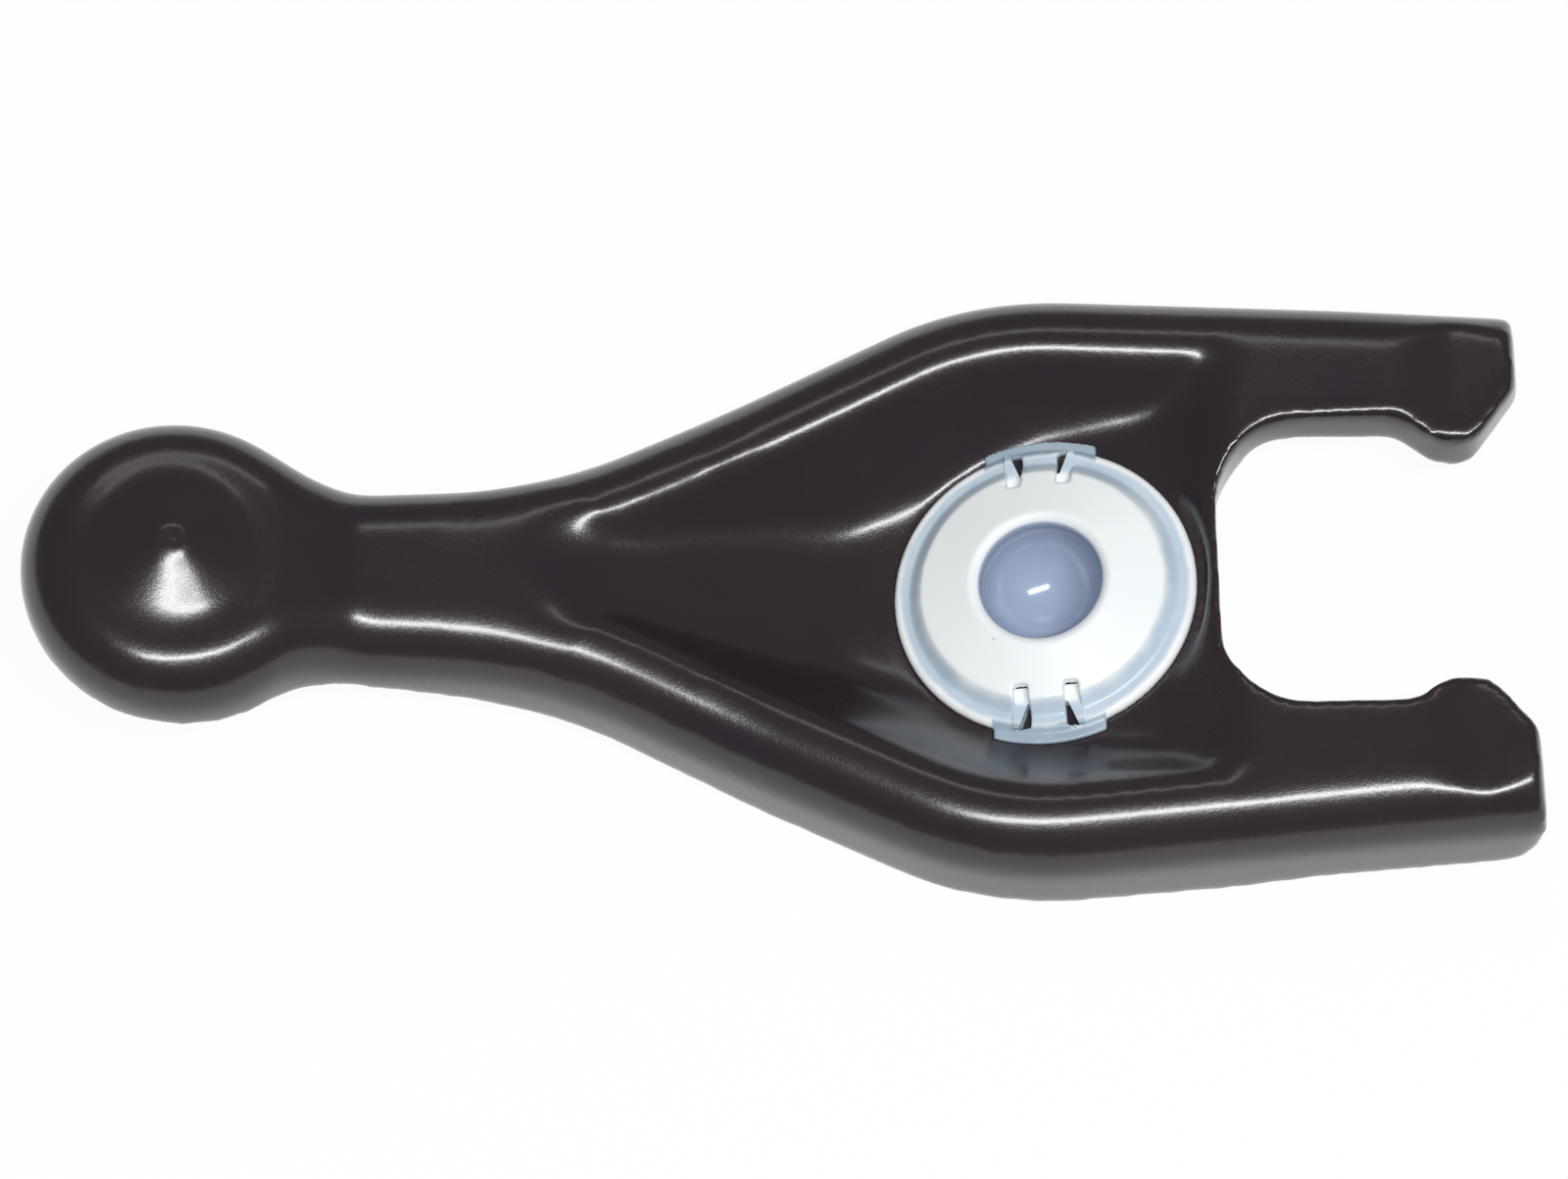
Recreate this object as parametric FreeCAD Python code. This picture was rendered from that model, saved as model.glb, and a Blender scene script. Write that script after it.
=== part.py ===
"""Clutch release fork: a forged steel lever and the nylon ball cup that clips into it.

The lever pivots on a ball stud that snaps into the cup from above.  A push rod bears in the
hollow under the domed head, and the two prongs push the release bearing.

Millimetres and degrees.  The origin is the centre of the pivot ball, +X runs along the lever
to the prongs and +Z is up, away from the surface that the lever lies on.
"""

import FreeCAD
import Part
import math
import os

Vec = FreeCAD.Vector

# ---- Lever: plan --------------------------------------------------------------------
HEAD_X = -113.8             # centre of the domed head
HEAD_RADIUS = 20.5
NECK_FILLET = 19.5          # plan radius between the head and the shank
NECK_X = -90.0
NECK_HALF_WIDTH = 12.8
SHANK_X = -73.0
SHANK_HALF_WIDTH = 13.5
FLANK_X = -44.0             # middle of the straight diverging flank
FLANK_HALF_WIDTH = 24.9
FLANK_ANGLE = 26.0          # between the flank and the lever's axis
FLANK_FILLET = 60.0         # hollow corner, shank into flank
SHOULDER_RADIUS = 48.0      # round corner, flank into prong
SHOULDER_X = 20.0
SHOULDER_HALF_WIDTH = 40.0
TIP_X = 63.2                # ends of the prongs, at their top
TIP_HALF_WIDTH = 36.9

# ---- Lever: heights -----------------------------------------------------------------
FLOOR_Z = -9.9              # lower edge of the arms, on which the lever lies
HEAD_TOP_Z = 18.4           # level of the head's flat, at its centre
HEAD_LEAN = 8.6             # fall of the head towards the prongs
HEAD_DEPTH = 12.2           # from the head's flat to its lower edge
NECK_TOP_X = -101.0         # from here the neck falls steeply to the shank
NECK_TOP_Z = 11.5           # level of the shank's start
SHANK_FOOT_X = -67.0        # where the shank's fall steepens
SHANK_FOOT_Z = 10.2
ARM_LOW_X = -38.0           # lowest place along the arms
ARM_LOW_Z = 7.1
ARM_TOP_Z = 7.7             # ridge of the arms beside the pivot
PRONG_TOP_X = 40.0          # from here to the tip the prongs are level
PRONG_TOP_Z = 9.3
PRONG_EDGE_Z = -8.4         # lower edge of the prongs
SHANK_DEPTH = 15.2          # from the shank's top to its lower edge
BEND_RADIUS = 8.0           # outer bend of the skin
WALL = 5.6                  # thickness of the skin
INNER_CREST_WIDTH = 2.0     # rounding of the pocket's rim, seen from below

# ---- Lever: pocket and pad ----------------------------------------------------------
POCKET_TIP_X = -69.0        # where the pocket's floor starts to fall from the shank
POCKET_END_X = 27.0
RIM_OVERLAP = 0.5           # how far the pocket's rim reaches into the outer bend
POCKET_SLOPE = 48.0
POCKET_END_SLOPE = 42.0
CREST_WIDTH = 4.2           # rounded part of the pocket's rim
FOOT_SHARPNESS = 9.0        # how tightly the pocket's walls meet its floor
PAD_TILT = 11.0             # rise of the pad towards the prongs
PAD_BELOW_BALL = 2.1        # from the ball's centre to the pad, square to the pad
PAD_START_X = -23.0         # bend between the pocket's floor and the pad
PAD_THICKNESS = 4.5         # at the cup's hole
ROOT_THICKNESS = 7.5        # where the pad runs into the prongs
CUP_HOLE_RADIUS = 10.1
CUP_SEAT_DEPTH = 0.1        # flat coined into the pad for the cup
BEAD_LAND = 3.5             # width of the flat under the pad for the snap bead

# ---- Lever: prongs ------------------------------------------------------------------
SLOT_X = 23.0
SLOT_HALF_WIDTH = 20.1
SLOT_CORNER = 11.2
HOOK_START_X = 47.7
HOOK_X = 52.2
HOOK_HALF_GAP = 16.7
HOOK_END_X = 57.6
HOOK_BACK_HALF_GAP = 24.0
PRONG_THICKNESS = 8.6
TROUGH_X = 55.8             # crease across each prong
TROUGH_DEPTH = 1.3
TROUGH_HALF_LENGTH = 8.0
TROUGH_RUN_OUT = 0.6        # how far the crease's soft sides still rise past its length
RIDGE_HEIGHT = 1.9          # contact ridge under each prong, below the prong's underside
TIP_LEAN = 9.0              # lean of the prongs' end faces
TIP_CORNER = 5.0            # lower corner of each prong's end
TIP_RECESS = 3.0            # how far the ends' lower half falls back

# ---- Lever: head --------------------------------------------------------------------
RING_BAND = 0.4             # from the head's outer bend in to the valley round the cone
RING_DEPTH = 0.6
CONE_HEIGHT = 4.3           # above the valley
DIMPLE_RADIUS = 1.7
ROD_SEAT_RADIUS = 8.0       # ball end of the push rod
ROD_SEAT_DEPTH = 5.0
HEAD_THICKNESS = 7.0

# ---- Ball cup, along its own axis ---------------------------------------------------
BALL_RADIUS = 8.2
BALL_CLEARANCE = 0.1
SNAP = 0.2                  # how much narrower the throat is than the socket
LIP_ROUNDING = 1.5
MOUND_EDGE_Z = 1.3
FLANGE_RADIUS = 20.3
FLANGE_THICKNESS = 1.5
FLANGE_BAND = 3.8           # flat rim of the flange outside its raised part
RIM_CHAMFER = 0.5
CUP_CLEARANCE = 0.2         # cup's body in the lever's hole
SOCKET_FLOOR = 0.8
MOUND_FLARE = 1.6           # from the raised part's edge out to the flat of the flange
BEAD_HEIGHT = 0.45          # snap bead under the pad
EAR_REACH = 1.4             # ears, past the flange
EAR_WIDTH = 15.0
EAR_THICKNESS = 0.9
FINGER_WIDTH = 4.7
FINGER_SLOT = 2.0
FINGER_LENGTH = 5.4
FINGER_LAND = 0.7           # from the end of the finger's slots to the flange's rim

# ---- Worked out from the sizes above ------------------------------------------------
BLANK_END_X = TIP_X + WALL + 6.0
OVERLAP = 5.0               # how far cutting bodies stand past what they cut
FAR = 30.0                  # reach of cutting bodies that clear the whole lever
POCKET_STEP = 2.5           # between the sections that the pocket's skin is drawn through
UNDERSIDE_STEP = 5.0
ACROSS = SHOULDER_HALF_WIDTH + 4 * OVERLAP  # half the reach of bodies that span the lever
SEAM = 0.06                 # how far a cutting skin stands off the face that it runs out on
HEAD_FALL = math.tan(math.radians(HEAD_LEAN))
PAD_RISE = math.tan(math.radians(PAD_TILT))
PAD_NORMAL = Vec(-math.sin(math.radians(PAD_TILT)), 0, math.cos(math.radians(PAD_TILT)))
SIDE_SLOPE = math.tan(math.radians(POCKET_SLOPE))
END_SLOPE = math.tan(math.radians(POCKET_END_SLOPE))
POCKET_MARGIN = BEND_RADIUS - RIM_OVERLAP
EAR_RADIUS = FLANGE_RADIUS + EAR_REACH
MOUND_RADIUS = FLANGE_RADIUS - FLANGE_BAND
FINGER_SLOT_END = FLANGE_RADIUS - FINGER_LAND
FINGER_SLOT_START = FINGER_SLOT_END - FINGER_LENGTH


def line(start, end):
    return Part.LineSegment(start, end).toShape()


def rounded_path(corners):
    """Straight runs joined by tangent arcs, through corners given as (x, y, radius)."""
    points = [Vec(x, y, 0) for x, y, _ in corners]
    edges = []
    start = points[0]
    for before, here, after, corner in zip(points, points[1:], points[2:], corners[1:]):
        radius = corner[2]
        arriving = (here - before).normalize()
        leaving = (after - here).normalize()
        half_turn = arriving.getAngle(leaving) / 2
        if radius == 0:
            edges.append(line(start, here))
            start = here
            continue
        set_back = radius * math.tan(half_turn)
        inward = (leaving - arriving).normalize()
        middle = here + inward * (radius / math.cos(half_turn) - radius)
        end = here + leaving * set_back
        edges.append(line(start, here - arriving * set_back))
        edges.append(Part.Arc(here - arriving * set_back, middle, end).toShape())
        start = end
    edges.append(line(start, points[-1]))
    return edges


def closed_face(corners):
    """A flat face inside a rounded path whose first corner is also its last."""
    return Part.Face(Part.Wire(rounded_path([*corners, (corners[0][0], corners[0][1], 0)])))


def across(face):
    """A face drawn as (x, z), raised upright and extruded over the lever's whole width."""
    upright = face.copy()
    upright.rotate(Vec(), Vec(1, 0, 0), 90)
    upright.translate(Vec(0, ACROSS, 0))
    return upright.extrude(Vec(0, -2 * ACROSS, 0))


def turned(corners):
    """A solid of revolution about Z, from a section given as (radius, z, rounding) corners."""
    section = closed_face(corners)
    section.rotate(Vec(), Vec(1, 0, 0), 90)
    return section.revolve(Vec(), Vec(0, 0, 1), 360)


class SideProfile:
    """A line of heights along the lever, as a rounded path in the X-Z plane."""

    def __init__(self, *corners):
        self.edges = rounded_path(corners)

    def at(self, x):
        """Height at x."""
        for edge in self.edges:
            start, end = edge.firstVertex().Point, edge.lastVertex().Point
            low, high = min(start.x, end.x), max(start.x, end.x)
            if x <= high or edge is self.edges[-1]:
                break
        if edge.Curve.TypeId == "Part::GeomLine":
            return start.y + (end.y - start.y) * (x - start.x) / (end.x - start.x)
        centre, radius = edge.Curve.Center, edge.Curve.Radius
        rise = math.sqrt(radius ** 2 - (x - centre.x) ** 2)
        return centre.y + math.copysign(rise, start.y - centre.y)

    def to_level(self, level):
        """Everything between the profile and a level, over the whole width."""
        start, end = self.edges[0].firstVertex().Point, self.edges[-1].lastVertex().Point
        level_end, level_start = Vec(end.x, level, 0), Vec(start.x, level, 0)
        closing = [line(end, level_end), line(level_end, level_start), line(level_start, start)]
        return across(Part.Face(Part.Wire(self.edges + closing)))


# ---- Side profiles of the lever -----------------------------------------------------

def head_line(below):
    """Start of a profile under the lever's top: over the head, down the neck, to the shank."""
    far_x = HEAD_X - HEAD_RADIUS - OVERLAP
    height = HEAD_TOP_Z - below
    far = (far_x, height - HEAD_FALL * (far_x - HEAD_X), 0)
    neck = (NECK_TOP_X, height - HEAD_FALL * (NECK_TOP_X - HEAD_X), 12)
    return far, neck


def arm_line(head, shank, arm, prong):
    """Heights of a skin along the lever, each set below the lever's top."""
    return SideProfile(
        *head_line(head),
        (NECK_X, NECK_TOP_Z - shank, 5),
        (SHANK_FOOT_X, SHANK_FOOT_Z - shank, 60),
        (ARM_LOW_X, ARM_LOW_Z - arm, 90),
        (0.0, ARM_TOP_Z - arm, 160),
        (PRONG_TOP_X, PRONG_TOP_Z - prong, 160),
        (BLANK_END_X + OVERLAP, PRONG_TOP_Z - prong, 0),
    )


def pad_height(x):
    """Height of the pad, which the cup's coined seat lies just under."""
    return (CUP_SEAT_DEPTH - PAD_BELOW_BALL) / PAD_NORMAL.z + PAD_RISE * x


CREST = arm_line(0, 0, 0, 0)
CEILING = arm_line(HEAD_THICKNESS, WALL, WALL, PRONG_THICKNESS)
LOWER_EDGE = SideProfile(
    *head_line(HEAD_DEPTH),
    (NECK_X, NECK_TOP_Z - HEAD_DEPTH, 10),
    (SHANK_X, SHANK_FOOT_Z - SHANK_DEPTH, 30),
    (ARM_LOW_X, FLOOR_Z, 60),
    (SLOT_X + 1, FLOOR_Z, 30),
    (SLOT_X + 11, PRONG_EDGE_Z, 30),
    (TIP_X + TIP_CORNER / 4 - TIP_RECESS / 2, PRONG_EDGE_Z, TIP_CORNER),
    (TIP_X + TIP_CORNER / 4, 0, 0),
)
POCKET_FLOOR = SideProfile(
    (POCKET_TIP_X, CREST.at(POCKET_TIP_X), 0),
    (PAD_START_X, pad_height(PAD_START_X), 30),
    (POCKET_END_X + OVERLAP, pad_height(POCKET_END_X + OVERLAP), 0),
)
POCKET_UNDERSIDE = SideProfile(
    (POCKET_TIP_X, CREST.at(POCKET_TIP_X) - WALL, 0),
    (PAD_START_X - 3, FLOOR_Z + 0.6, 30),
    (POCKET_END_X + OVERLAP, pad_height(POCKET_END_X + OVERLAP) - ROOT_THICKNESS, 0),
)


# ---- Outline of the lever -----------------------------------------------------------

def neck_arcs():
    """The head's round and the fillet that leads it into the shank, on +Y."""
    shank = Vec(SHANK_X - NECK_X, SHANK_HALF_WIDTH - NECK_HALF_WIDTH, 0).normalize()
    outward = Vec(-shank.y, shank.x, 0)
    head = Vec(HEAD_X, 0, 0)
    reach = HEAD_RADIUS + NECK_FILLET
    offset = Vec(NECK_X, NECK_HALF_WIDTH, 0) + outward * NECK_FILLET - head
    along = offset.dot(shank)
    step = math.sqrt(along ** 2 - offset.dot(offset) + reach ** 2) - along
    centre = head + offset + shank * step
    far_end = head - Vec(HEAD_RADIUS, 0, 0)
    on_head = head + (centre - head) * (HEAD_RADIUS / reach)
    on_shank = centre - outward * NECK_FILLET
    head_side = head + (on_head + far_end - head * 2).normalize() * HEAD_RADIUS
    hollow = centre + (on_head + on_shank - centre * 2).normalize() * NECK_FILLET
    return [Part.Arc(far_end, head_side, on_head), Part.Arc(on_head, hollow, on_shank)]


def crossing(first, second):
    """Where two plan lines, each given as a point and a slope, meet."""
    (x0, y0, m0), (x1, y1, m1) = first, second
    x = (y1 - y0 + m0 * x0 - m1 * x1) / (m0 - m1)
    return x, y0 + m0 * (x - x0)


def outline():
    """The lever's outline in plan, closed across the prongs."""
    neck = [arc.toShape() for arc in neck_arcs()]
    start = neck[-1].lastVertex().Point
    shank_slope = (SHANK_HALF_WIDTH - NECK_HALF_WIDTH) / (SHANK_X - NECK_X)
    prong_slope = (TIP_HALF_WIDTH - SHOULDER_HALF_WIDTH) / (TIP_X - SHOULDER_X)
    shank = (SHANK_X, SHANK_HALF_WIDTH, shank_slope)
    flank = (FLANK_X, FLANK_HALF_WIDTH, math.tan(math.radians(FLANK_ANGLE)))
    prong = (SHOULDER_X, SHOULDER_HALF_WIDTH, prong_slope)
    end_y = TIP_HALF_WIDTH + prong_slope * (BLANK_END_X - TIP_X)
    side = rounded_path([
        (start.x, start.y, 0),
        (*crossing(shank, flank), FLANK_FILLET),
        (*crossing(flank, prong), SHOULDER_RADIUS),
        (BLANK_END_X, end_y, 0),
    ])
    upper = neck + side
    lower = [edge.mirror(Vec(), Vec(0, 1, 0)) for edge in upper]
    closing = line(Vec(BLANK_END_X, end_y, 0), Vec(BLANK_END_X, -end_y, 0))
    return Part.Wire(Part.__sortEdges__(upper + lower + [closing]))


# ---- Pocket -------------------------------------------------------------------------

def sloped_drop(distance, slope, width):
    """Depth at a distance inside the pocket's rim: a rounded crest of a width, then the slope."""
    part = distance / width
    if part <= 0:
        return 0.0
    if part < 1:
        return slope * width * (part ** 3 - part ** 4 / 2)
    return slope * (distance - width / 2)


def pocket_height(x, inset, shift, crest, floor, width):
    """Height of the pocket's skin at x, at a distance inside the outline."""
    drops = (
        sloped_drop(inset - POCKET_MARGIN + shift, SIDE_SLOPE, width),
        sloped_drop(POCKET_END_X - x + shift, END_SLOPE, width),
        crest.at(x) - floor.at(x),
    )
    if x <= POCKET_TIP_X or min(drops) <= 0:
        return crest.at(x)
    return crest.at(x) - sum(drop ** -FOOT_SHARPNESS for drop in drops) ** (-1 / FOOT_SHARPNESS)


def spaced(start, end, step):
    count = math.ceil((end - start) / step)
    return [start + (end - start) * i / count for i in range(count + 1)]


def skin_over_pocket(shift, crest, floor, width, step):
    """A smooth surface through cross-sections of the pocket, standing clear of the skin beside it."""
    wire = outline()
    face = Part.Face(wire)
    half = SHOULDER_HALF_WIDTH + OVERLAP
    grid = []
    for x in spaced(POCKET_TIP_X - OVERLAP, POCKET_END_X + OVERLAP, step):
        row = []
        for y in spaced(-half, half, step):
            point = Vec(x, y, 0)
            inside = face.isInside(point, 1e-6, True)
            inset = wire.distToShape(Part.Vertex(point))[0] if inside else 0.0
            height = pocket_height(x, inset, shift, crest, floor, width)
            row.append(Vec(x, y, height + SEAM))
        grid.append(row)
    surface = Part.BSplineSurface()
    surface.interpolate(grid)
    return surface.toShape()


# ---- Lever --------------------------------------------------------------------------

def top_edges(shape, end_x):
    """Edges along which a level top meets the upright side, apart from the closing end."""
    found = []
    for edge in shape.Edges:
        middle = edge.valueAt((edge.FirstParameter + edge.LastParameter) / 2)
        if middle.x > end_x - 0.1:
            continue
        faces = [face for face in shape.Faces if any(e.isSame(edge) for e in face.Edges)]
        uprights = [abs(face.normalAt(*face.Surface.parameter(middle)).z) for face in faces]
        if min(uprights) < 0.01 and max(uprights) > 0.8 and middle.z > FLOOR_Z:
            found.append(edge)
    return found


def block_under(face, profile):
    """A plan face raised to a side profile."""
    raised = face.copy()
    raised.translate(Vec(0, 0, FLOOR_Z - 4 * OVERLAP))
    return raised.extrude(Vec(0, 0, 3 * FAR)).common(profile.to_level(FLOOR_Z - 2 * OVERLAP))


def build_skin():
    """The forged skin: a bent-over plan blank with its pocket and its hollow underside."""
    plan = Part.Face(outline())
    blank = block_under(plan, CREST)
    body = blank.makeFillet(BEND_RADIUS, top_edges(blank, BLANK_END_X))
    pocket = skin_over_pocket(0.0, CREST, POCKET_FLOOR, CREST_WIDTH, POCKET_STEP)
    body = body.cut(pocket.extrude(Vec(0, 0, 2 * FAR)))
    inner_plan = plan.makeOffset2D(-WALL)
    cavity = block_under(inner_plan, CEILING)
    shift = WALL * math.tan(math.radians(POCKET_SLOPE / 2)) + CREST_WIDTH / 2 - 1
    underside = skin_over_pocket(shift, CEILING, POCKET_UNDERSIDE, INNER_CREST_WIDTH, UNDERSIDE_STEP)
    cavity = cavity.cut(underside.extrude(Vec(0, 0, 2 * FAR)))
    return body.cut(cavity).common(LOWER_EDGE.to_level(2 * FAR))


def leaned(shape, lean, foot):
    """A shape built along Z about the origin, leaned towards +X and set at its place."""
    placed = shape.copy()
    placed.rotate(Vec(), Vec(0, 1, 0), lean)
    placed.translate(foot)
    return placed


def crown_head(body):
    """The cone in its round valley on top of the head, and the push rod's seat under it."""
    foot = Vec(HEAD_X, 0, HEAD_TOP_Z)
    edge = HEAD_RADIUS - BEND_RADIUS
    ring = edge - RING_BAND
    apex = CONE_HEIGHT - RING_DEPTH
    top = apex + OVERLAP
    plug = Part.makeCylinder(edge - 0.1, top + OVERLAP, Vec(0, 0, -2))
    above_cone = turned([
        (0, apex - 0.4, 0),
        (DIMPLE_RADIUS, apex, 0.8),
        (ring, -RING_DEPTH, 1.5),
        (ring + 2 * RING_DEPTH, SEAM, 0),
        (ring + 2 * RING_DEPTH, top + OVERLAP, 0),
        (0, top + OVERLAP, 0),
    ])
    seat_centre = Vec(0, 0, ROD_SEAT_DEPTH - HEAD_THICKNESS - ROD_SEAT_RADIUS)
    seat = Part.makeSphere(ROD_SEAT_RADIUS, seat_centre)
    body = body.fuse(leaned(plug, HEAD_LEAN, foot))
    body = body.cut(leaned(above_cone, HEAD_LEAN, foot))
    return body.cut(leaned(seat, HEAD_LEAN, foot))


def cut_cup_hole(body):
    """The cup's hole through the pad, with a flat seat round it above and below."""
    under_pad = -PAD_BELOW_BALL - PAD_THICKNESS
    hole = Part.makeCylinder(CUP_HOLE_RADIUS, 2 * FAR, Vec(0, 0, -FAR))
    seat = Part.makeCylinder(EAR_RADIUS + CUP_CLEARANCE, FAR, Vec(0, 0, -PAD_BELOW_BALL))
    flat = Part.makeCylinder(CUP_HOLE_RADIUS + BEAD_LAND, FAR, Vec(0, 0, under_pad - FAR))
    return body.cut(leaned(hole.fuse([seat, flat]), -PAD_TILT, Vec()))


def slot_plan():
    """The slot between the prongs, with the gap between their hooks."""
    slope = (HOOK_BACK_HALF_GAP - HOOK_HALF_GAP) / (TIP_X - HOOK_END_X)
    past = BLANK_END_X + OVERLAP
    side = [
        (SLOT_X, SLOT_HALF_WIDTH, SLOT_CORNER),
        (HOOK_START_X, SLOT_HALF_WIDTH, 4.0),
        (HOOK_X, HOOK_HALF_GAP, 2.5),
        (HOOK_END_X, HOOK_HALF_GAP, 3.0),
        (past, HOOK_BACK_HALF_GAP + slope * (past - TIP_X), 0),
    ]
    other_side = [(x, -y, radius) for x, y, radius in reversed(side)]
    return closed_face([(SLOT_X, 0, 0), *side, *other_side])


def v_section(top, depth, rounding):
    """Section of the crease across the prongs, below a level, running out softly on both sides."""
    reach = TROUGH_HALF_LENGTH
    return closed_face([
        (TROUGH_X, top + OVERLAP, 0),
        (TROUGH_X - 3 * reach, top + OVERLAP, 0),
        (TROUGH_X - 3 * reach, top + TROUGH_RUN_OUT, 0),
        (TROUGH_X - reach, top, 30),
        (TROUGH_X, top - depth, rounding),
        (TROUGH_X + reach, top, 30),
        (TROUGH_X + 3 * reach, top + TROUGH_RUN_OUT, 0),
        (TROUGH_X + 3 * reach, top + OVERLAP, 0),
    ])


def shape_prongs(body):
    """The slot, the crease across each prong with its contact ridge below, and the ends."""
    trough = across(v_section(PRONG_TOP_Z, TROUGH_DEPTH, 0.8))
    underside = PRONG_TOP_Z - PRONG_THICKNESS
    ridge = across(v_section(underside, RIDGE_HEIGHT, 3.0))
    inner_plan = Part.Face(outline()).makeOffset2D(-WALL + 1)
    inner_plan.translate(Vec(0, 0, FLOOR_Z))
    room = inner_plan.extrude(Vec(0, 0, underside - FLOOR_Z + 1))
    body = body.cut(trough).fuse(ridge.common(room))
    slot = slot_plan()
    slot.translate(Vec(0, 0, -FAR))
    lean = math.tan(math.radians(TIP_LEAN))
    past = BLANK_END_X + 2 * OVERLAP
    beyond = across(closed_face([
        (TIP_X - lean * FAR, PRONG_TOP_Z + FAR, 0),
        (past, PRONG_TOP_Z + FAR, 0),
        (past, PRONG_TOP_Z - FAR, 0),
        (TIP_X + lean * FAR, PRONG_TOP_Z - FAR, 0),
    ]))
    return body.cut(slot.extrude(Vec(0, 0, 2 * FAR))).cut(beyond)


def build_lever():
    body = build_skin()
    body = crown_head(body)
    body = cut_cup_hole(body)
    return shape_prongs(body).removeSplitter()


# ---- Ball cup -----------------------------------------------------------------------

def build_cup():
    """The nylon cup: a domed flange on the pad, a socket for the ball and a snap bead."""
    socket = BALL_RADIUS + BALL_CLEARANCE
    throat = socket - SNAP
    throat_z = math.sqrt(socket ** 2 - throat ** 2)
    lip_z = throat_z + LIP_ROUNDING
    seat_z = -PAD_BELOW_BALL
    rim_z = seat_z + FLANGE_THICKNESS
    body = CUP_HOLE_RADIUS - CUP_CLEARANCE
    under_pad = seat_z - PAD_THICKNESS
    bottom = -socket - SOCKET_FLOOR
    crown = throat + LIP_ROUNDING
    outer = turned([
        (0, bottom, 0),
        (socket / 3, bottom, 0),
        (body, bottom + 2.0, 0),
        (body + BEAD_HEIGHT, under_pad - 0.6, 0),
        (body + BEAD_HEIGHT, under_pad - 0.25, 0),
        (body, under_pad - 0.05, 0),
        (body, seat_z, 0),
        (FLANGE_RADIUS, seat_z, 0),
        (FLANGE_RADIUS, rim_z - RIM_CHAMFER, 0),
        (FLANGE_RADIUS - RIM_CHAMFER, rim_z, 0),
        (MOUND_RADIUS + MOUND_FLARE, rim_z + 0.1, 0),
        (MOUND_RADIUS - 0.2, MOUND_EDGE_Z, 0),
        (crown, lip_z, 0),
        (crown - 0.3 * LIP_ROUNDING, lip_z - 0.04 * LIP_ROUNDING, 0),
        (crown - 0.7 * LIP_ROUNDING, lip_z - 0.3 * LIP_ROUNDING, 0),
        (crown - 0.96 * LIP_ROUNDING, lip_z - 0.7 * LIP_ROUNDING, 0),
        (throat, throat_z, 0),
        (0, throat_z, 0),
    ])
    hollow = turned([
        (body + 1.6, seat_z - OVERLAP, 0),
        (body + 1.6, lip_z - 1.9, 0),
        (MOUND_RADIUS - 0.6, MOUND_EDGE_Z - 1.6, 0),
        (MOUND_RADIUS + MOUND_FLARE, seat_z, 0),
        (MOUND_RADIUS + MOUND_FLARE, seat_z - OVERLAP, 0),
    ])
    cup = outer.cut(Part.makeSphere(socket)).cut(hollow)
    ear_ring = turned([
        (MOUND_RADIUS + 1.8, seat_z, 0),
        (EAR_RADIUS, seat_z, 0),
        (EAR_RADIUS, seat_z + EAR_THICKNESS, 0),
        (MOUND_RADIUS + 1.8, seat_z + EAR_THICKNESS, 0),
    ])
    corner = Vec(-EAR_WIDTH / 2, -FAR, -FAR)
    cup = cup.fuse(ear_ring.common(Part.makeBox(EAR_WIDTH, 2 * FAR, 2 * FAR, corner)))
    for side in (-1, 1):
        middle = side * (FINGER_WIDTH + FINGER_SLOT) / 2
        for start in (FINGER_SLOT_START, -FINGER_SLOT_END):
            corner = Vec(middle - FINGER_SLOT / 2, start, -FAR)
            cup = cup.cut(Part.makeBox(FINGER_SLOT, FINGER_LENGTH, 2 * FAR, corner))
    return leaned(cup, -PAD_TILT, Vec())


os.makedirs("parts", exist_ok=True)
for name, shape in (("fork_lever", build_lever()), ("ball_cup", build_cup())):
    print(name, shape.isValid(), len(shape.Solids), len(shape.Faces), round(shape.Volume))
    shape.exportStep(f"parts/{name}.step")
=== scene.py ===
"""Looks of the clutch release fork: satin black coating on forged steel, and a nylon ball cup."""

import logging
import math
from dataclasses import dataclass
from enum import Enum

import bmesh
import bpy
from mathutils import Matrix, Vector
from mathutils.kdtree import KDTree


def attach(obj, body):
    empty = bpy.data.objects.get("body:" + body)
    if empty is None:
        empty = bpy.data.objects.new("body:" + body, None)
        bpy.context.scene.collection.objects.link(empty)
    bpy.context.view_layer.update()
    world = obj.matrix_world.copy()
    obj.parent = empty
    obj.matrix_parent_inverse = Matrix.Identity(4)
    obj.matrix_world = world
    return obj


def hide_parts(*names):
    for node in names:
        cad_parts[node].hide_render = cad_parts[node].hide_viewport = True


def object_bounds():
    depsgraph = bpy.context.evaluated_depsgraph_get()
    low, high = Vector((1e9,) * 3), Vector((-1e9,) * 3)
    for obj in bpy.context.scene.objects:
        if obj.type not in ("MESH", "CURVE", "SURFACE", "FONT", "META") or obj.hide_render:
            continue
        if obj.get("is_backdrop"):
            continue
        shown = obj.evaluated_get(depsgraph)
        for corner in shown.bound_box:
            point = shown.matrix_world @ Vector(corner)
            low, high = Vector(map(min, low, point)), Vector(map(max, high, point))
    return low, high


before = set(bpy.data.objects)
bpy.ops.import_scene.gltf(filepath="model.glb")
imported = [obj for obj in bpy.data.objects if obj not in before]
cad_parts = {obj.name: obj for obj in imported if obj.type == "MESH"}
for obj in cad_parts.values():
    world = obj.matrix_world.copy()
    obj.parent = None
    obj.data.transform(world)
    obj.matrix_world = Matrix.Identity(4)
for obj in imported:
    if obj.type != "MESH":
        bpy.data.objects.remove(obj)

LOG = logging.getLogger("clutch_fork")
MM = 0.001
PAD_TILT = math.radians(11.0)
# The even grid lies askew to the part, so that no straight edge runs along it and comes out stepped.
GRID_TURN = Matrix.Rotation(0.62, 4, Vector((1.0, 0.7, 0.45)))


class Body(Enum):
    """The bodies that pieces ride on."""

    ROOT = "root"


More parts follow.
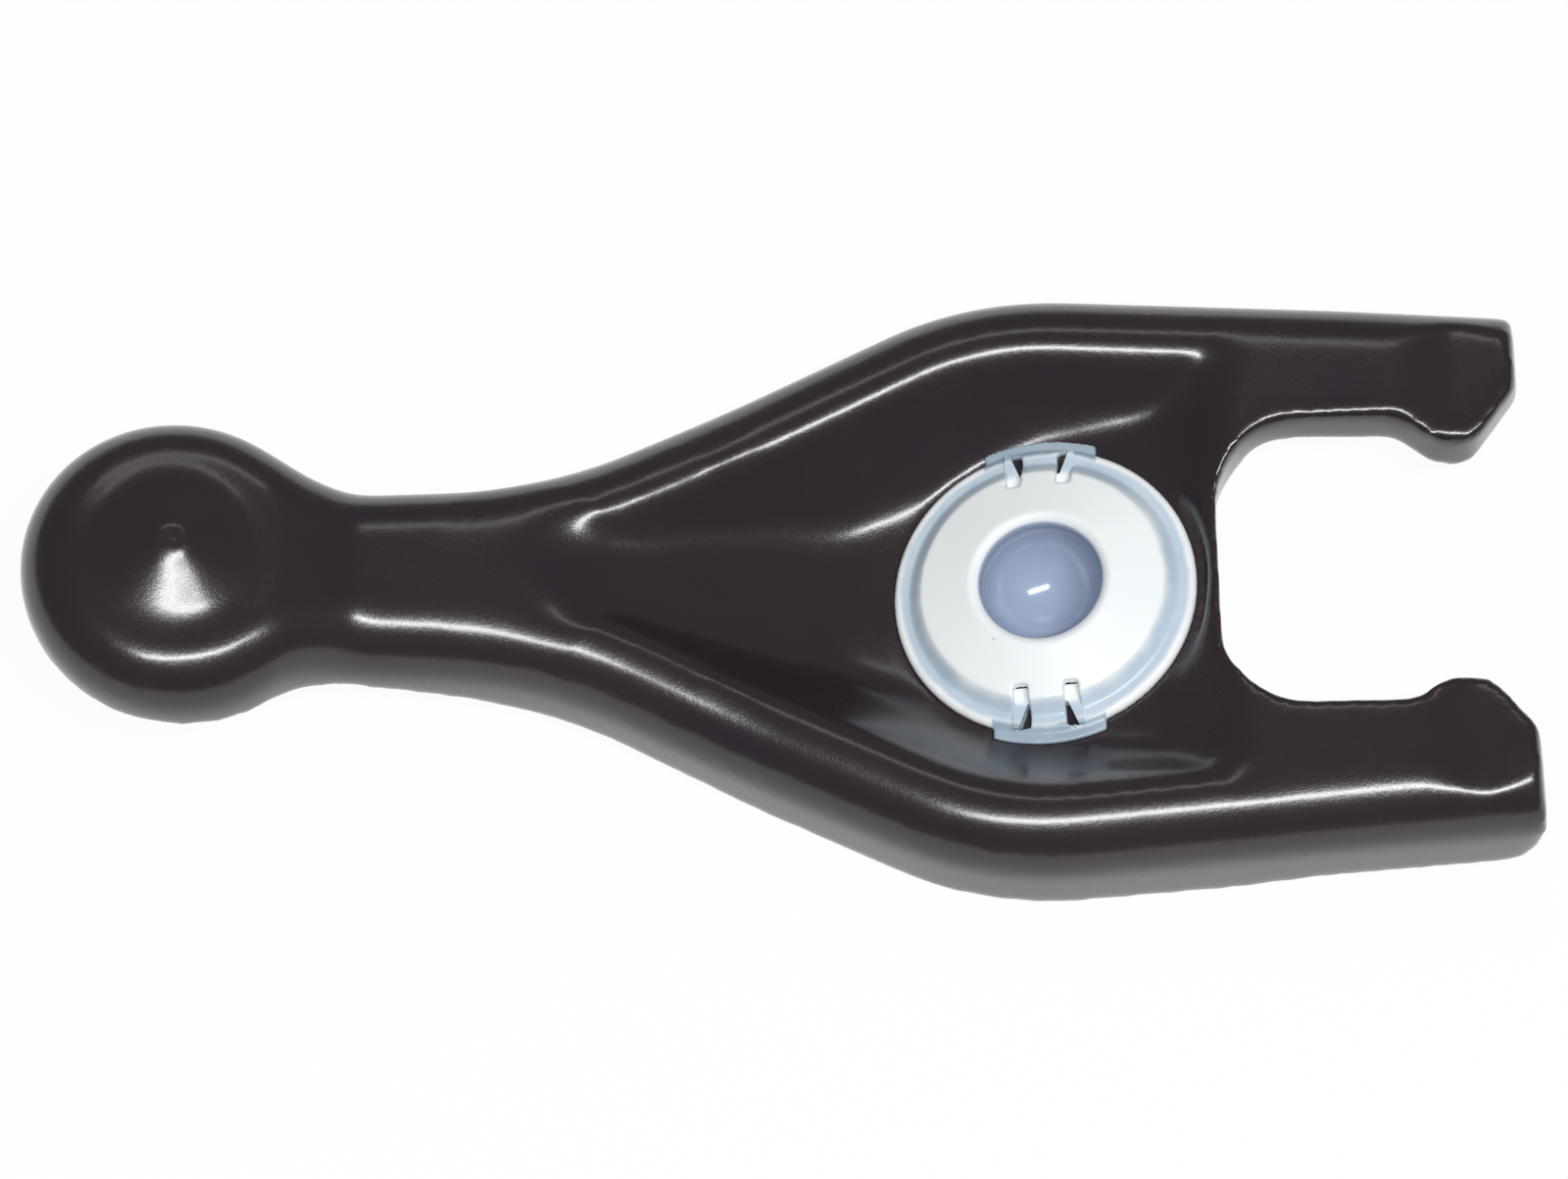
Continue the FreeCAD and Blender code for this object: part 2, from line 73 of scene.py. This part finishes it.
class Sheet:
    """The nodes of one material or world, with a single method that makes any node."""

    def __init__(self, owner: bpy.types.Material | bpy.types.World) -> None:
        """Starts an empty node tree.

        Args:
            owner: the new material or world that the nodes belong to.
        """
        self.owner = owner
        self.owner.use_nodes = True
        self.tree = self.owner.node_tree
        self.tree.nodes.clear()

    def node(self, kind: str, settings: dict | None = None, **sockets: object) -> bpy.types.Node:
        """Makes a node, sets it up and fills its sockets.

        Args:
            kind: the node's type.
            settings: properties of the node.
            sockets: values or links, by the socket's name with underscores for spaces, and with
                two underscores and its number where several have one name.

        Returns:
            The new node.
        """
        node = self.tree.nodes.new(kind)
        for key, value in (settings or {}).items():
            setattr(node, key, value)
        for key, value in sockets.items():
            name, _, number = key.partition("__")
            socket = node.inputs[int(number)] if number else node.inputs[name.replace("_", " ")]
            if isinstance(value, Value):
                self.tree.links.new(value.socket, socket)
            elif isinstance(value, bpy.types.NodeSocket):
                self.tree.links.new(value, socket)
            else:
                socket.default_value = value
        return node

    def close(self, shader: bpy.types.Node) -> None:
        """Sends a shader to the output.

        Args:
            shader: the last shader of the tree.
        """
        kind = "World" if isinstance(self.owner, bpy.types.World) else "Material"
        self.node(f"ShaderNodeOutput{kind}", Surface=shader.outputs[0])

    def value(self, socket: bpy.types.NodeSocket) -> "Value":
        """Wraps a socket so that it can be used in an expression."""
        return Value(self, socket)

    def noise(self, place: bpy.types.NodeSocket, size: float, detail: float) -> "Value":
        """Adds a noise pattern.

        Args:
            place: the coordinates.
            size: the size of its largest features, in metres.
            detail: how many finer octaves it has.

        Returns:
            The pattern, about 0.5.
        """
        noise = self.node("ShaderNodeTexNoise", Vector=place, Scale=1.0 / size, Detail=detail)
        return self.value(noise.outputs[0])

    def mix(self, factor: "Value", first: object, second: object) -> bpy.types.NodeSocket:
        """Mixes two colours.

        Args:
            factor: how much of the second colour shows.
            first: a colour of three numbers, or a link.
            second: a colour of three numbers, or a link.

        Returns:
            The mixed colour.
        """
        below, above = ((*c, 1.0) if isinstance(c, tuple) else c for c in (first, second))
        settings = {"data_type": "RGBA"}
        node = self.node("ShaderNodeMix", settings, Factor__0=factor, A__6=below, B__7=above)
        return node.outputs[2]


class Value:
    """A number in a material, which Python's operators combine into Math nodes."""

    def __init__(self, sheet: Sheet, socket: bpy.types.NodeSocket) -> None:
        """Keeps the socket and the sheet that it belongs to."""
        self.sheet = sheet
        self.socket = socket

    def _math(self, operation: str, *operands: object) -> "Value":
        """Adds a Math node.

        Args:
            operation: the node's operation.
            operands: numbers or values, in the order of the node's sockets.

        Returns:
            The node's result.
        """
        sockets = {f"Value__{i}": operand for i, operand in enumerate(operands)}
        node = self.sheet.node("ShaderNodeMath", {"operation": operation}, **sockets)
        return Value(self.sheet, node.outputs[0])

    def __add__(self, other: object) -> "Value":
        """Sum."""
        return self._math("ADD", self, other)

    __radd__ = __add__

    def __sub__(self, other: object) -> "Value":
        """Difference."""
        return self._math("SUBTRACT", self, other)

    def __rsub__(self, other: object) -> "Value":
        """Difference, taken from a number."""
        return self._math("SUBTRACT", other, self)

    def __mul__(self, other: object) -> "Value":
        """Product."""
        return self._math("MULTIPLY", self, other)

    __rmul__ = __mul__

    def size(self) -> "Value":
        """Its size without its sign."""
        return self._math("ABSOLUTE", self)

    def above(self, edge: float, width: float) -> "Value":
        """A soft step: 0 below an edge and 1 above it.

        Args:
            edge: where the step is half done.
            width: how wide the step is.

        Returns:
            The step, from 0 to 1.
        """
        node = self.sheet.node(
            "ShaderNodeMapRange",
            {"interpolation_type": "SMOOTHSTEP"},
            Value=self,
            From_Min=edge - width / 2,
            From_Max=edge + width / 2,
        )
        return Value(self.sheet, node.outputs[0])


@dataclass(frozen=True)
class BlackCoating:
    """Satin black coating on forged steel, with the faint orange peel of a dipped finish."""

    colour: tuple = (0.022, 0.0155, 0.022)
    warm_colour: tuple = (0.027, 0.017, 0.020)
    roughness: float = 0.25
    cloud_roughness: float = 0.08
    grain_roughness: float = 0.12
    index: float = 1.46
    top_coat: float = 0.5
    top_coat_roughness: float = 0.16
    cloud_size: float = 14.0 * MM
    peel_size: float = 2.4 * MM
    grain_size: float = 0.45 * MM
    spark_size: float = 0.22 * MM
    peel_height: float = 0.55
    grain_height: float = 0.45
    spark_height: float = 0.35
    bump_strength: float = 0.7
    bump_depth: float = 0.06 * MM

    def material(self) -> bpy.types.Material:
        """Builds the finish.

        Returns:
            The material for the lever.
        """
        sheet = Sheet(bpy.data.materials.new("black_coating"))
        place = sheet.node("ShaderNodeTexCoord").outputs["Object"]
        cloud = sheet.noise(place, self.cloud_size, detail=4.0)
        spark = sheet.noise(place, self.spark_size, detail=1.0)
        grain = sheet.noise(place, self.grain_size, detail=2.0)
        peel = sheet.noise(place, self.peel_size, detail=3.0)
        tint = sheet.mix(cloud.above(0.5, 0.5), self.colour, self.warm_colour)
        least = self.roughness - (self.cloud_roughness + self.grain_roughness) / 2
        rough = cloud * self.cloud_roughness + grain * self.grain_roughness + least
        height = grain * self.grain_height + peel * self.peel_height + spark * self.spark_height
        bump = sheet.node(
            "ShaderNodeBump", Strength=self.bump_strength, Distance=self.bump_depth, Height=height,
        )
        sheet.close(sheet.node(
            "ShaderNodeBsdfPrincipled",
            Base_Color=tint,
            Roughness=rough,
            IOR=self.index,
            Normal=bump.outputs[0],
            Coat_Weight=self.top_coat,
            Coat_Roughness=self.top_coat_roughness,
        ))
        return sheet.owner


@dataclass(frozen=True)
class NaturalNylon:
    """Unpigmented nylon: milky where it is thick, bluish where it is thin over the dark steel."""

    thick: tuple = (0.92, 0.965, 0.98)
    thin: tuple = (0.48, 0.60, 0.72)
    ear: tuple = (0.34, 0.44, 0.53)
    socket: tuple = (0.35, 0.42, 0.56)
    roughness: float = 0.30
    socket_roughness: float = 0.15

    tilt: float = PAD_TILT
    mound_radius: float = 16.7 * MM
    mound_blur: float = 1.4 * MM
    rim_radius: float = 19.3 * MM
    rim_blur: float = 0.9 * MM
    ear_radius: float = 19.5 * MM
    ear_blur: float = 0.8 * MM
    ear_half_width: float = 7.6 * MM
    ear_side_blur: float = 0.4 * MM
    socket_radius: float = 8.35 * MM
    socket_blur: float = 0.3 * MM

    cloud_size: float = 5.0 * MM
    cloud_wander: float = 1.2 * MM
    thin_least: float = 0.55
    thin_cloud: float = 0.6
    ear_least: float = 0.7
    ear_cloud: float = 0.5

    speck: tuple = (0.20, 0.17, 0.15)
    speck_spacing: float = 3.4 * MM
    speck_rarity: float = 0.86
    speck_size: float = 0.035
    speck_blur: float = 0.02
    speck_strength: float = 0.8

    def specks(self, sheet: Sheet, place: bpy.types.NodeSocket) -> Value:
        """Strews a few dark specks.

        Args:
            sheet: the material's nodes.
            place: the coordinates.

        Returns:
            How much of a speck shows.
        """
        cells = sheet.node("ShaderNodeTexVoronoi", Vector=place, Scale=1.0 / self.speck_spacing)
        chance = sheet.node("ShaderNodeSeparateColor", Color=cells.outputs["Color"])
        rare = sheet.value(chance.outputs[0]).above(self.speck_rarity, self.speck_blur)
        close = 1.0 - sheet.value(cells.outputs["Distance"]).above(self.speck_size, self.speck_blur)
        return rare * close * self.speck_strength

    def material(self) -> bpy.types.Material:
        """Builds the finish.

        Returns:
            The material for the ball cup.
        """
        sheet = Sheet(bpy.data.materials.new("natural_nylon"))
        place = sheet.node("ShaderNodeTexCoord").outputs["Object"]
        turned = sheet.node(
            "ShaderNodeMapping", {"vector_type": "POINT"}, Vector=place, Rotation=(0.0, self.tilt, 0.0),
        ).outputs[0]
        flat = sheet.node(
            "ShaderNodeVectorMath", {"operation": "MULTIPLY"}, Vector__0=turned, Vector__1=(1.0, 1.0, 0.0),
        )
        length = sheet.node("ShaderNodeVectorMath", {"operation": "LENGTH"}, Vector__0=flat.outputs[0])
        radius = sheet.value(length.outputs["Value"])
        parts = sheet.node("ShaderNodeSeparateXYZ", Vector=turned)
        beside = sheet.value(parts.outputs["X"]).size()

        cloud = sheet.noise(place, self.cloud_size, detail=3.0)
        edge = radius + (cloud - 0.5) * self.cloud_wander
        past_mound = edge.above(self.mound_radius, self.mound_blur)
        band = past_mound * (1.0 - edge.above(self.rim_radius, self.rim_blur))
        past_rim = edge.above(self.ear_radius, self.ear_blur)
        ear = past_rim * (1.0 - beside.above(self.ear_half_width, self.ear_side_blur))
        socket = 1.0 - radius.above(self.socket_radius, self.socket_blur)

        colour = sheet.mix(band * (self.thin_least + cloud * self.thin_cloud), self.thick, self.thin)
        colour = sheet.mix(ear * (self.ear_least + cloud * self.ear_cloud), colour, self.ear)
        colour = sheet.mix(socket, colour, self.socket)
        colour = sheet.mix(self.specks(sheet, place), colour, self.speck)
        rough = self.roughness - (self.roughness - self.socket_roughness) * socket
        sheet.close(sheet.node("ShaderNodeBsdfPrincipled", Base_Color=colour, Roughness=rough))
        return sheet.owner


@dataclass(frozen=True)
class SoftZone:
    """A round zone, or one along a ring, in which a formed surface is fairer than elsewhere."""

    centre: tuple
    reach: float
    passes: int = 0
    ring: float = 0.0

    def share(self, place: Vector) -> float:
        """How far a place lies in the zone.

        Args:
            place: a point of the surface.

        Returns:
            1 in the zone's middle or on its ring, falling to 0 at its reach.
        """
        gap = ((place - Vector(self.centre)).length - self.ring) / self.reach
        return max(0.0, 1.0 - gap ** 2)


@dataclass
class FormedPiece:
    """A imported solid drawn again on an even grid, with its edges worn as forming leaves them."""

    node: str
    slot: str
    grid: float
    edge_angle: float = math.radians(24.0)
    edge_passes: int = 28
    open_passes: int = 24
    edge_reach: float = 2.2 * MM
    edge_margin: float = 0.4
    pass_strength: float = 0.5
    least_share: float = 0.01
    zones: tuple = ()
    kept: tuple = ()

    def sharp_points(self, mesh: bpy.types.Mesh) -> KDTree:
        """Finds the sharp edges of the solid.

        Args:
            mesh: a copy of the solid's mesh, whose doubles are merged here.

        Returns:
            Points along the sharp edges.
        """
        shape = bmesh.new()
        shape.from_mesh(mesh)
        bmesh.ops.remove_doubles(shape, verts=shape.verts, dist=0.001 * MM)
        points = []
        for edge in shape.edges:
            if len(edge.link_faces) == 2 and edge.calc_face_angle() > self.edge_angle:
                start, end = (vert.co for vert in edge.verts)
                count = max(1, round((end - start).length / self.grid))
                points += [start.lerp(end, i / count) for i in range(count + 1)]
        shape.to_mesh(mesh)
        shape.free()
        tree = KDTree(len(points))
        for index, point in enumerate(points):
            tree.insert(point, index)
        tree.balance()
        return tree

    def settle(self, piece: bpy.types.Object) -> None:
        """Puts a piece's modifiers into its mesh.

        Args:
            piece: the piece.
        """
        depsgraph = bpy.context.evaluated_depsgraph_get()
        mesh = bpy.data.meshes.new_from_object(piece.evaluated_get(depsgraph))
        piece.modifiers.clear()
        piece.data = mesh

    def smooth(self, piece: bpy.types.Object, passes: int, weights: list) -> None:
        """Fairs the surface.

        Args:
            piece: the piece.
            passes: how many times it is smoothed.
            weights: how much of that each point gets, from 0 to 1.
        """
        group = piece.vertex_groups.new(name="fair")
        for index, weight in enumerate(weights):
            if weight > self.least_share:
                group.add([index], weight, "REPLACE")
        modifier = piece.modifiers.new("fair", "SMOOTH")
        modifier.factor = self.pass_strength
        modifier.iterations = passes
        modifier.vertex_group = group.name
        self.settle(piece)
        piece.vertex_groups.clear()

    def build(self, finish: bpy.types.Material) -> bpy.types.Object:
        """Draws the piece, puts it in the place of its solid and dresses it.

        Args:
            finish: the piece's material.

        Returns:
            The piece.
        """
        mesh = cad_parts[self.node].data.copy()
        sharp = self.sharp_points(mesh)
        piece = bpy.data.objects.new(f"{self.node}_formed", mesh)
        bpy.context.scene.collection.objects.link(piece)
        mesh.transform(GRID_TURN)
        even = piece.modifiers.new("even", "REMESH")
        even.mode = "VOXEL"
        even.voxel_size = self.grid
        self.settle(piece)
        piece.data.transform(GRID_TURN.inverted())

        places = [vert.co.copy() for vert in piece.data.vertices]
        free = [1.0 - max([zone.share(place) for zone in self.kept], default=0.0) for place in places]
        self.smooth(piece, self.edge_passes, free)
        gaps = [sharp.find(place)[2] / self.edge_reach - self.edge_margin for place in places]
        self.smooth(
            piece,
            self.open_passes,
            [min(1.0, max(0.0, gap)) * share for gap, share in zip(gaps, free)],
        )
        for zone in self.zones:
            self.smooth(piece, zone.passes, [zone.share(vert.co) for vert in piece.data.vertices])
        piece.data.shade_smooth()

        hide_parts(self.node)
        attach(piece, Body.ROOT.value)
        piece.data.materials.clear()
        piece.data.materials.append(finish)
        return piece


@dataclass
class Lever:
    """The forged steel lever."""

    node: str = "fork_lever"
    slot: str = "black_coating"
    coating: BlackCoating = BlackCoating()
    grid: float = 0.70 * MM
    pocket_tip: SoftZone = SoftZone((-69 * MM, 0.0, 10 * MM), 13 * MM, 160)
    head_ring: SoftZone = SoftZone((-113.8 * MM, 0.0, 18.4 * MM), 3.5 * MM, 24, ring=12.3 * MM)
    dimple: SoftZone = SoftZone((-113.2 * MM, 0.0, 22.1 * MM), 4.5 * MM)
    upper_root: SoftZone = SoftZone((27 * MM, 27 * MM, 8.5 * MM), 7 * MM, 60)
    lower_root: SoftZone = SoftZone((27 * MM, -27 * MM, 8.5 * MM), 7 * MM, 60)

    def build(self) -> list:
        """Draws the forging and coats it.

        Returns:
            The lever's one piece.
        """
        zones = (self.pocket_tip, self.head_ring, self.upper_root, self.lower_root)
        forging = FormedPiece(self.node, self.slot, self.grid, zones=zones, kept=(self.dimple,))
        return [forging.build(self.coating.material())]


@dataclass
class BallCup:
    """The nylon cup on the pad, with a web in each slot beside its two fingers."""

    node: str = "ball_cup"
    slot: str = "natural_nylon"
    nylon: NaturalNylon = NaturalNylon()
    grid: float = 0.25 * MM
    edge_passes: int = 3
    open_passes: int = 8
    edge_reach: float = 0.9 * MM

    tilt: float = PAD_TILT
    seat: float = -2.05 * MM
    finger_half_width: float = 2.35 * MM
    slot_width: float = 2.0 * MM
    slot_start: float = 14.1 * MM
    slot_end: float = 19.65 * MM
    web_end: float = 16.4 * MM
    web_top: float = -0.25 * MM
    web_foot: float = 0.35 * MM

    def web(self, side: int, end: int) -> bmesh.types.BMesh:
        """Moulds the web in one slot, which leaves a three-cornered gap at the rim.

        Args:
            side: which side of the finger, -1 or 1.
            end: which end of the cup, -1 or 1.

        Returns:
            The web, upright about the cup's axis.
        """
        inner = self.finger_half_width
        outer = inner + self.slot_width
        plan = [
            (inner - self.web_foot, self.slot_start),
            (outer + self.web_foot, self.slot_start),
            (outer + self.web_foot, self.slot_end),
            (outer - self.web_foot, self.slot_end),
            (inner + self.web_foot, self.web_end),
            (inner - self.web_foot, self.web_end),
        ]
        shape = bmesh.new()
        corners = [shape.verts.new((side * x, end * y, self.seat)) for x, y in plan]
        face = shape.faces.new(corners)
        raised = bmesh.ops.extrude_face_region(shape, geom=[face])
        upper = [item for item in raised["geom"] if isinstance(item, bmesh.types.BMVert)]
        bmesh.ops.translate(shape, verts=upper, vec=(0, 0, self.web_top - self.seat))
        bmesh.ops.recalc_face_normals(shape, faces=shape.faces)
        return shape

    def add_webs(self, finish: bpy.types.Material) -> bpy.types.Object:
        """Adds the webs beside both fingers.

        Args:
            finish: the webs' material.

        Returns:
            The webs, as one piece.
        """
        mesh = bpy.data.meshes.new("finger_webs")
        joined = bmesh.new()
        for side in (-1, 1):
            for end in (-1, 1):
                shape = self.web(side, end)
                shape.to_mesh(mesh)
                shape.free()
                joined.from_mesh(mesh)
        lean = Matrix.Rotation(-self.tilt, 3, "Y")
        bmesh.ops.rotate(joined, verts=joined.verts, cent=(0, 0, 0), matrix=lean)
        joined.to_mesh(mesh)
        joined.free()
        mesh.materials.append(finish)
        webs = bpy.data.objects.new("finger_webs", mesh)
        bpy.context.scene.collection.objects.link(webs)
        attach(webs, Body.ROOT.value)
        return webs

    def build(self) -> list:
        """Draws the moulding and its webs and gives them their colour.

        Returns:
            The moulding and the webs.
        """
        finish = self.nylon.material()
        moulding = FormedPiece(
            self.node,
            self.slot,
            self.grid,
            edge_passes=self.edge_passes,
            open_passes=self.open_passes,
            edge_reach=self.edge_reach,
        )
        return [moulding.build(finish), self.add_webs(finish)]


@dataclass(frozen=True)
class Lamp:
    """A rectangular lamp that faces the pivot: its place and sides in metres, its power in watts."""

    name: str
    place: tuple
    sides: tuple
    power: float

    def build(self) -> None:
        """Hangs the lamp."""
        data = bpy.data.lights.new(self.name, "AREA")
        data.shape = "RECTANGLE"
        data.size, data.size_y = self.sides
        data.energy = self.power
        lamp = bpy.data.objects.new(self.name, data)
        lamp.location = self.place
        lamp.rotation_euler = Vector(self.place).to_track_quat("Z", "Y").to_euler()
        bpy.context.scene.collection.objects.link(lamp)


@dataclass
class Studio:
    """A white floor under soft light, two lamps and the camera."""

    elevation: float = 66.7
    roll: float = 1.0
    distance: float = 0.8
    pivot_in_view: tuple = (0.0344, 0.0003)
    lens: float = 138.5
    sensor: float = 36.0
    floor_size: float = 6.0
    floor_grey: float = 0.9
    floor_glow: float = 0.95
    sky_strength: float = 0.2
    softbox: Lamp = Lamp("softbox", (0.10, -0.30, 0.85), (0.65, 0.12), 7.4)
    fill: Lamp = Lamp("fill", (0.0, 0.60, 0.75), (0.50, 0.10), 0.4)

    def view_axes(self) -> Matrix:
        """The camera's axes in the frame, as the columns of a rotation.

        Returns:
            A 3 by 3 rotation from camera to frame.
        """
        tilt = Matrix.Rotation(math.radians(90.0 - self.elevation), 3, "X")
        return tilt @ Matrix.Rotation(math.radians(-self.roll), 3, "Z")

    def add_camera(self) -> None:
        """Sets the camera so that the pivot lies off the view's middle."""
        axes = self.view_axes()
        across, up = self.pivot_in_view
        place = axes @ Vector((-across, -up, self.distance))
        data = bpy.data.cameras.new("camera")
        data.lens = self.lens
        data.sensor_width = self.sensor
        camera = bpy.data.objects.new("camera", data)
        camera.matrix_world = Matrix.Translation(place) @ axes.to_4x4()
        bpy.context.scene.collection.objects.link(camera)
        bpy.context.scene.camera = camera

    def add_floor(self, height: float) -> None:
        """Adds the floor, which shows white and keeps the lever's shadow.

        Args:
            height: the level that the lever lies on.
        """
        bpy.ops.mesh.primitive_plane_add(size=self.floor_size, location=(0, 0, height))
        floor = bpy.context.object
        floor.name = "floor"
        sheet = Sheet(bpy.data.materials.new("white_floor"))
        path = sheet.node("ShaderNodeLightPath").outputs
        kinds = ("Camera", "Glossy", "Transmission")
        camera, glossy, through = (sheet.value(path[f"Is {kind} Ray"]) for kind in kinds)
        paper = sheet.node("ShaderNodeBsdfDiffuse", Color=(*[self.floor_grey] * 3, 1.0))
        glow = sheet.node("ShaderNodeEmission", Color=(1, 1, 1, 1), Strength=1.0)
        sheet.close(sheet.node(
            "ShaderNodeMixShader",
            Fac=(camera + glossy + through) * self.floor_glow,
            Shader__1=paper.outputs[0],
            Shader__2=glow.outputs[0],
        ))
        floor.data.materials.append(sheet.owner)
        floor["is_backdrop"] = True

    def add_world(self) -> None:
        """Sets the dim light from all round, behind a pale sky that only the camera sees."""
        sheet = Sheet(bpy.data.worlds.new("studio"))
        path = sheet.node("ShaderNodeLightPath").outputs
        dim = sheet.node("ShaderNodeBackground", Strength=self.sky_strength)
        pale = sheet.node("ShaderNodeBackground", Strength=1.0)
        sheet.close(sheet.node(
            "ShaderNodeMixShader",
            Fac=path["Is Camera Ray"],
            Shader__1=dim.outputs[0],
            Shader__2=pale.outputs[0],
        ))
        bpy.context.scene.world = sheet.owner
        bpy.context.scene.view_settings.view_transform = "Standard"

    def build(self, height: float) -> None:
        """Builds the studio round the object.

        Args:
            height: the floor's level.
        """
        self.add_world()
        self.add_floor(height)
        self.softbox.build()
        self.fill.build()
        self.add_camera()


def main() -> None:
    """Builds the pieces in order and finishes the scene."""
    logging.basicConfig(level=logging.INFO, format="%(message)s")
    cad_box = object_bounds()
    for assembly in (Lever(), BallCup()):
        for piece in assembly.build():
            LOG.info("%s built", piece.name)
    Studio().build(cad_box[0][2])


if __name__ == "__main__":
    main()
